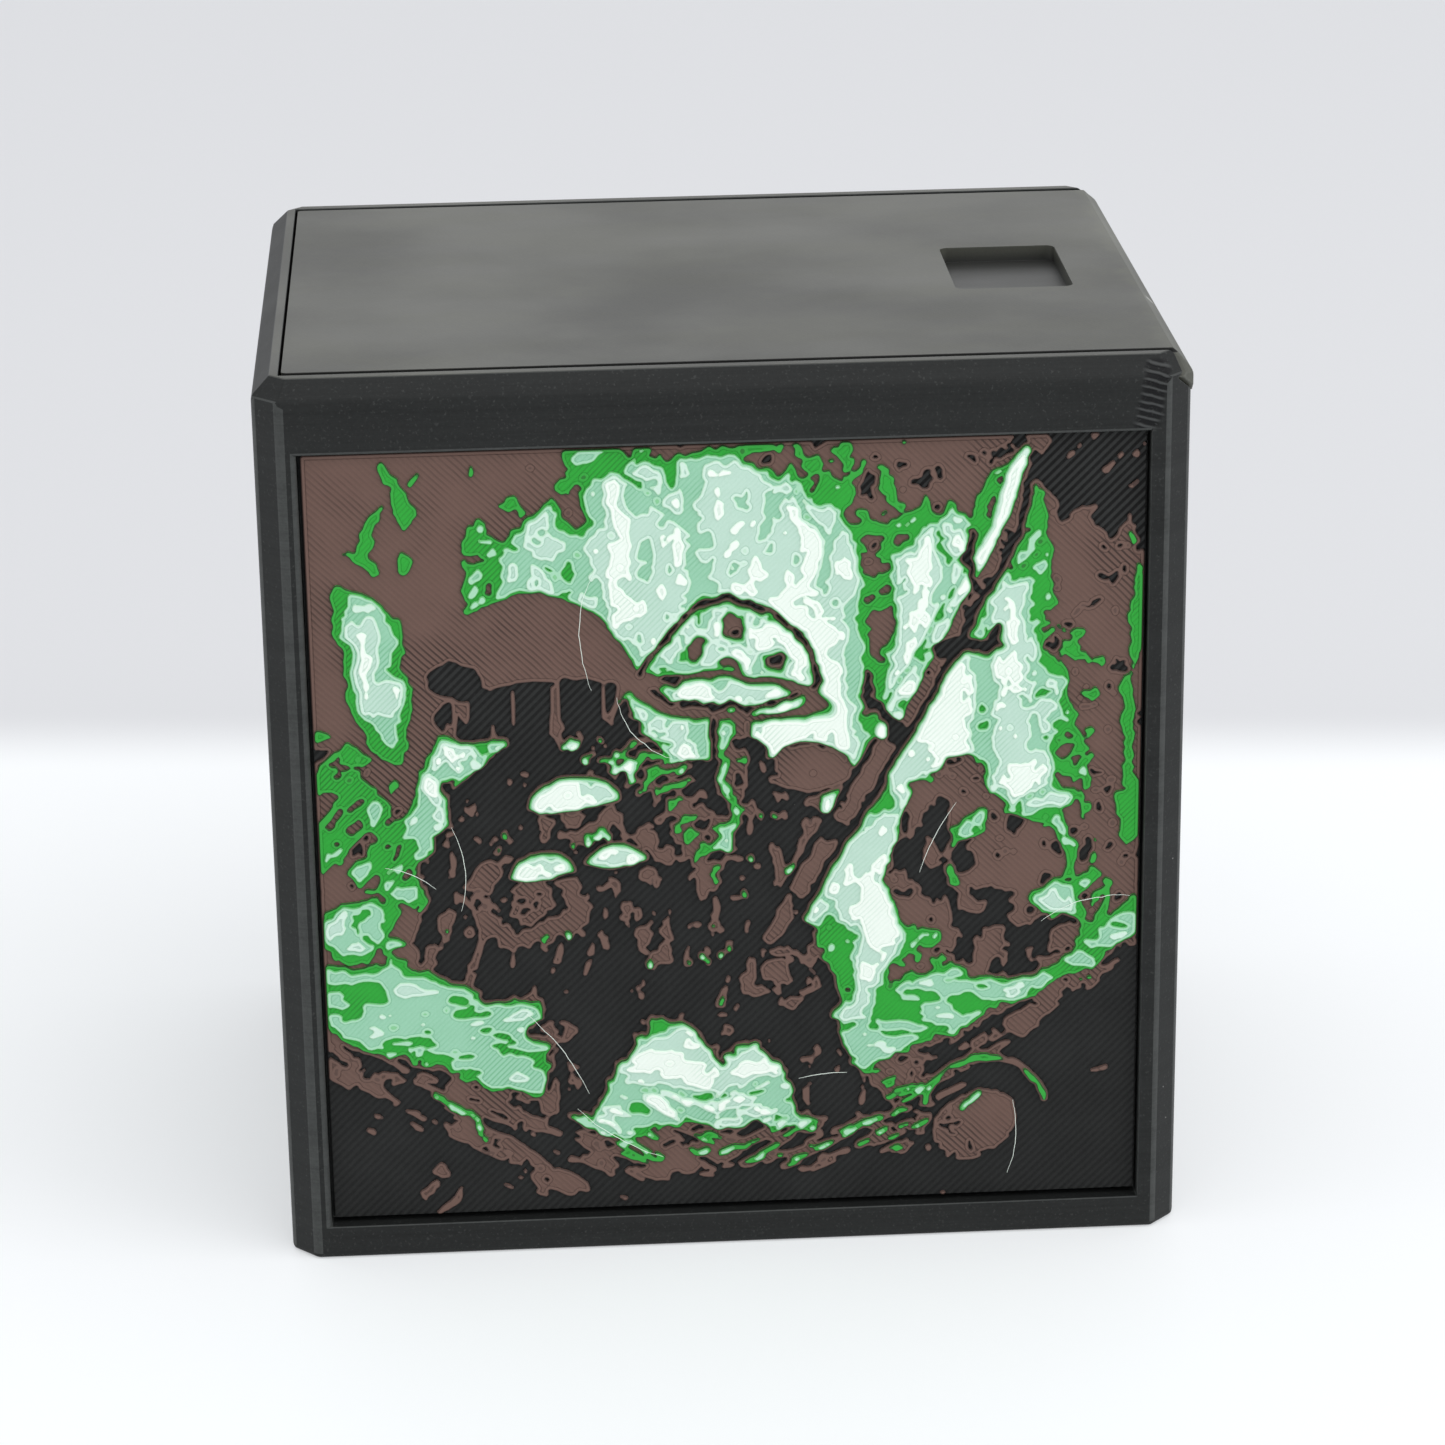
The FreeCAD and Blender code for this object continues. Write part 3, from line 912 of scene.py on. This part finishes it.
def evened(loop):
    """The loop with a slight smoothing and without the points that lie in line."""
    loop = (np.roll(loop, 1, 0) + 2 * loop + np.roll(loop, -1, 0)) / 4
    kept = [0]
    here = 0
    count = len(loop)
    while here < count:
        reach = 1
        while here + reach + 1 <= count and reach < 14:
            chord = loop[(here + reach + 1) % count] - loop[here]
            length = math.hypot(*chord) or 1e-9
            between = loop[here + 1:here + reach + 1] - loop[here]
            if np.abs(between[:, 0] * chord[1] - between[:, 1] * chord[0]).max() / length > straightness:
                break
            reach += 1
        here += reach
        if here < count:
            kept.append(here)
    return loop[kept]


def area(loop):
    """The area inside a loop, less than 0 where it turns to the right."""
    ahead = np.roll(loop, -1, 0)
    return (loop[:, 0] * ahead[:, 1] - loop[:, 1] * ahead[:, 0]).sum() / 2


def layer_shape(level, below):
    """The distance map of one layer, kept a step inside the layer that carries it."""
    rim = np.pad(tone - level, 1, constant_values=-1e4)
    distance = edge_distance(rim)
    if below is not None:
        distance = np.minimum(distance, below - step_in)
    opened = edge_distance(distance - narrowest) + narrowest
    return np.where(opened > (bead_reach - 1) * cell, bead_reach * cell, opened)


def ring_loops(shape, inset):
    """The outlines at one inset, as points in millimetres on the panel."""
    loops = []
    scale = np.array([panel_width / (columns - 1), panel_height / (rows - 1)]) / cell
    smallest = smallest_patch * (1 if inset == 0 else 0.1)
    for loop in outlines_at(shape, inset):
        if len(loop) > 5 and abs(area(loop)) * cell * cell > smallest:
            loop = (evened(loop) - 1) * cell
            if len(loop) > 3:
                loops.append(loop * scale)
    return loops


def printed_layer(name, shape, face, back):
    """The solid of one layer from its distance map; face and back are depths in millimetres."""
    given = []
    edges = []
    facts = []
    outline_edges = 0
    for inset, fall, mark in profile:
        for loop in ring_loops(shape, inset):
            start = len(given)
            given += [Vector(p) for p in loop.tolist()]
            facts += [(face + fall, mark)] * len(loop)
            edges += [(start + k, start + (k + 1) % len(loop)) for k in range(len(loop))]
        outline_edges = outline_edges or len(edges)
    made, lines, triangles, sources, line_sources, _ = delaunay_2d_cdt(given, edges, [], 0, 1e-5, True)
    fence = set()
    for line, known in zip(lines, line_sources):
        if any(edge < outline_edges for edge in known):
            fence.add(tuple(sorted(line)))
    beside = {}
    for number, (a, b, c) in enumerate(triangles):
        for side in ((a, b), (b, c), (c, a)):
            beside.setdefault(tuple(sorted(side)), []).append(number)
    inside = {}
    waiting = []
    for side, pair in beside.items():
        if len(pair) == 1 and pair[0] not in inside:
            inside[pair[0]] = side in fence
            waiting.append(pair[0])
    while waiting:
        here = waiting.pop()
        a, b, c = triangles[here]
        for side in ((a, b), (b, c), (c, a)):
            key = tuple(sorted(side))
            for other in beside[key]:
                if other not in inside:
                    inside[other] = inside[here] ^ (key in fence)
                    waiting.append(other)
    points = []
    marks = []
    for point, source in zip(made, sources):
        depth, mark = facts[source[0]] if source else (face + 0.03, 0.5)
        points.append((point.x + panel_left, point.y + panel_bottom, depth))
        marks.append(mark)
    faces = [list(corners) for number, corners in enumerate(triangles) if inside[number]]
    return upright_solid(name, points, faces, back, np.array(marks))


def strand_look(name, main, lighter, darker, rim, edge, lean=1, pitch=0.45, depth=0.02, rough=0.45):
    """Printed colour: strands that lean to the right (1) or left (-1), and a bead along each outline."""
    look = Look(name)
    grain = look.noise(0.22 * mm, 2.0)
    blotch = look.noise(4 * mm, 4.0)
    wobble = look.noise(2.5 * mm, 1.0) * (0.25 * mm)
    wave = ((look.z - lean * look.x + wobble) * (2 * math.pi / (math.sqrt(2) * pitch * mm))).sine()
    bead = look.node("ShaderNodeAttribute", {"attribute_name": "bead"}, {}, "Fac")
    body = 1 - bead.above(0.05, 0.9)
    patchy = look.noise(11 * mm, seed=6.0).above(0.42, 0.66)
    groove = 1 - bead.above(-0.5, -0.05)
    base = look.blend(blotch * 0.6 + grain * 0.6 - 0.1, main, lighter)
    base = look.blend(wave.above(0.05, 0.75) * body * (0.1 + patchy * 0.85), base, darker)
    # rim paints the top of each bead lighter: a painted highlight where light catches its rounding
    base = look.blend(bead.above(0.2, 0.9) * (0.5 + grain * 0.5), base, rim)
    base = look.blend(groove * 0.5, base, darker)
    base = look.blend(bead.above(1.15, 1.8), base, edge)
    slope = look.bump(wave * body * 0.5 + grain * 0.25, depth * mm)
    return look.finish(base, rough + grain * 0.14, slope, Specular_IOR_Level=0.3)


faces_y = {name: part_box(name)[0].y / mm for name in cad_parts}
brown_shape = layer_shape(1.0, None)
brown_piece = printed_layer("brown_layer", brown_shape, faces_y["art_layer_brown"], panel_face + 0.05)
brown_piece.data.materials.append(strand_look(
    "brown_plastic", (0.108, 0.06, 0.047), (0.145, 0.083, 0.066), (0.035, 0.018, 0.014),
    (0.135, 0.078, 0.062), (0.06, 0.034, 0.028), lean=-1, pitch=0.55, depth=0.03, rough=0.5,
))
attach(brown_piece, "box")
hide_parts("art_layer_brown")


# ---- green layer ----
# Bright green plastic on the brown, in leaves, grass and the canopy. A thin green bead lets the brown
# under it show, so each green patch has a dark olive edge.

green_shape = layer_shape(2.0, brown_shape)
green_piece = printed_layer(
    "green_layer", green_shape, faces_y["art_layer_green"], faces_y["art_layer_brown"] + sunk,
)
green_piece.data.materials.append(strand_look(
    "green_plastic", (0.012, 0.29, 0.022), (0.02, 0.37, 0.034), (0.008, 0.18, 0.014),
    (0.028, 0.33, 0.04), (0.012, 0.045, 0.01),
))
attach(green_piece, "box")
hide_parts("art_layer_green")


# ---- mint layer ----
# One thin layer of white over the green, through which the green shows, gives a mint tone.
# It makes the mist between the far trunks and the light edges of the leaves.

mint_shape = layer_shape(3.0, green_shape)
mint_piece = printed_layer(
    "mint_layer", mint_shape, faces_y["art_layer_mint"], faces_y["art_layer_green"] + sunk,
)
mint_piece.data.materials.append(strand_look(
    "mint_plastic", (0.24, 0.51, 0.33), (0.32, 0.59, 0.43), (0.17, 0.43, 0.25),
    (0.37, 0.65, 0.45), (0.12, 0.45, 0.14),
))
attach(mint_piece, "box")
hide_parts("art_layer_mint")


# ---- white layer ----
# White plastic on top, in two thicknesses: a pale one that is still slightly green, and the brightest
# patches twice as thick. A few hair-thin strings that the nozzle drew out lie over the face.

white_low, white_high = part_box("art_layer_white")
half_white = (white_low.y + white_high.y) / 2 / mm
pale_shape = layer_shape(4.0, mint_shape)
pale_piece = printed_layer("pale_layer", pale_shape, half_white, faces_y["art_layer_mint"] + sunk)
pale_piece.data.materials.append(strand_look(
    "pale_plastic", (0.42, 0.61, 0.5), (0.52, 0.7, 0.6), (0.34, 0.55, 0.42),
    (0.62, 0.79, 0.68), (0.45, 0.68, 0.5),
))
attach(pale_piece, "box")
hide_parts("art_layer_white")

white_shape = layer_shape(5.0, pale_shape)
white_piece = printed_layer("white_layer", white_shape, white_low.y / mm, half_white + sunk)

string_steps = 17
string_sides = 5
string_radius = 0.034


def drawn_string(work, start, sag, end):
    """A hair of plastic from start to end, (x, z) in hundredths, bowed sideways by sag."""
    bow = np.array([-(end[1] - start[1]), end[0] - start[0]], float)
    bow = bow / np.hypot(*bow) * sag
    share = np.linspace(0, 1, string_steps + 1)
    wander = 0.12 * cloud(share[None, :] * 7, share[None, :] * 0)[0]
    aside = 4 * share * (1 - share) + wander
    path_x = start[0] + (end[0] - start[0]) * share + bow[0] * aside
    path_z = start[1] + (end[1] - start[1]) * share + bow[1] * aside
    lift = white_low.y / mm - 0.02 + 0.16 * np.abs(2 * share - 1) ** 4
    rings = []
    for k in range(string_steps + 1):
        radius = string_radius * (0.35 + 0.65 * math.sin(math.pi * (0.08 + 0.84 * share[k])))
        centre_x = path_x[k] * panel_width / 100 + panel_left
        centre_z = path_z[k] * panel_width / 100 + panel_bottom
        centre = Vector((centre_x, lift[k], centre_z))
        ring = []
        for turn in range(string_sides):
            angle = turn * 2 * math.pi / string_sides
            outwards = math.cos(angle)
            around = Vector((outwards * bow[0] / abs(sag), math.sin(angle), outwards * bow[1] / abs(sag)))
            ring.append(work.verts.new((centre + around * radius) * mm))
        rings.append(ring)
    for a, b in zip(rings, rings[1:]):
        for turn in range(string_sides):
            work.faces.new([a[turn], a[turn - 1], b[turn - 1], b[turn]])
    work.faces.new(rings[0])
    work.faces.new(rings[-1][::-1])


work = bmesh.new()
work.from_mesh(white_piece.data)
bead_mark = work.verts.layers.float["bead"]
printed_count = len(work.verts)
strings = [
    ((24.5, 27), 0.8, (32, 16)), ((34, 84), -1.6, (33.5, 69)), ((73, 44), 0.5, (77.5, 53)),
    ((58, 17), 0.3, (64, 17.6)), ((30.5, 14), -0.7, (41, 7)), ((88, 37), 1.2, (98.88, 40)),
    ((43, 60), 1.5, (36.5, 68)), ((84, 3), -0.8, (84.6, 13)), ((8, 47), 0.6, (14, 44)),
    ((17, 41), -1.0, (16.2, 52)),
]
for start, sag, end in strings:
    drawn_string(work, start, sag, end)
work.verts.ensure_lookup_table()
for vertex in work.verts[printed_count:]:
    vertex[bead_mark] = 0.5
string_faces = len(strings) * (string_steps * string_sides + 2)
bmesh.ops.recalc_face_normals(work, faces=work.faces[-string_faces:])
work.to_mesh(white_piece.data)
work.free()
white_piece.data.materials.append(strand_look(
    "white_plastic", (0.74, 0.82, 0.74), (0.83, 0.89, 0.83), (0.6, 0.73, 0.63),
    (0.82, 0.88, 0.81), (0.68, 0.82, 0.7),
))
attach(white_piece, "box")
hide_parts("art_layer_white")


# ---- studio ----
# The box stands on a plain pale table whose far part is a cooler grey, under large soft lights.
# The camera stands in front and a little to the left, above the lid, with a long lens.

table_mesh = bpy.data.meshes.new("table")
table_top = -0.03 * mm
table_mesh.from_pydata(
    [(x, y, table_top) for x, y in ((-6, -6), (6, -6), (6, 6), (-6, 6))], [], [(0, 1, 2, 3)],
)
table = placed("table", table_mesh)
table_look = Look("table_top")
far = (table_look.y + table_look.x * 0.097).above(107 * mm, 133 * mm)
table_colour = table_look.blend(far, (0.93, 0.947, 0.96), (0.7, 0.705, 0.725))
table_grain = table_look.noise(1.5 * mm, 2.0)
table_slope = table_look.bump(table_grain, 0.001 * mm)
# the table keeps 0.6 of its colour and glows with 0.4 of it: painted light that lifts the shadows on it
table_base = table_look.blend(0.6, (0, 0, 0), table_colour)
table_mesh.materials.append(table_look.finish(
    table_base, 0.75 + table_grain * 0.1, table_slope,
    Specular_IOR_Level=0.1, Emission_Color=table_colour, Emission_Strength=0.4,
))

world = bpy.data.worlds.new("studio")
world.use_nodes = True
backdrop = world.node_tree.nodes["Background"].inputs
backdrop["Color"].default_value = (0.965, 0.98, 1.0, 1.0)
backdrop["Strength"].default_value = 0.84
scene.world = world


def soft_light(name, place, target, size, power):
    lamp = bpy.data.lights.new(name, "AREA")
    lamp.shape = "RECTANGLE"
    lamp.size, lamp.size_y = size
    lamp.energy = power
    holder = placed(name, lamp)
    holder.location = place
    holder.rotation_euler = (Vector(target) - Vector(place)).to_track_quat("-Z", "Y").to_euler()


soft_light("overhead", (0.3, -0.6, 1.3), (0, -0.1, 0), (1.4, 1.2), 6.0)
soft_light("front", (0.25, -1.2, 0.7), (0, 0, 0.05), (1.0, 0.8), 0.6)
soft_light("right", (1.15, -0.55, 0.65), (0, 0, 0.03), (0.9, 0.8), 4.6)
soft_light("left", (-1.2, -0.35, 0.45), (0, 0, 0.05), (0.8, 0.7), 1.8)
soft_light("back", (0.0, 1.9, 0.8), (0, 0, 0.1), (2.2, 0.8), 3.0)

camera_data = bpy.data.cameras.new("camera")
camera_data.sensor_width = 36
camera_data.lens = 114.5
camera = placed("camera", camera_data)
camera.location = (-26.4 * mm, -495.4 * mm, 230.3 * mm)
forward = Vector((0.0526, 0.9366, -0.3466))
lean = Matrix.Rotation(math.radians(0.8), 4, forward)
camera.rotation_mode = "QUATERNION"
camera.rotation_quaternion = (lean @ forward.to_track_quat("-Z", "Y").to_matrix().to_4x4()).to_quaternion()
scene.camera = camera
scene.view_settings.view_transform = "Standard"
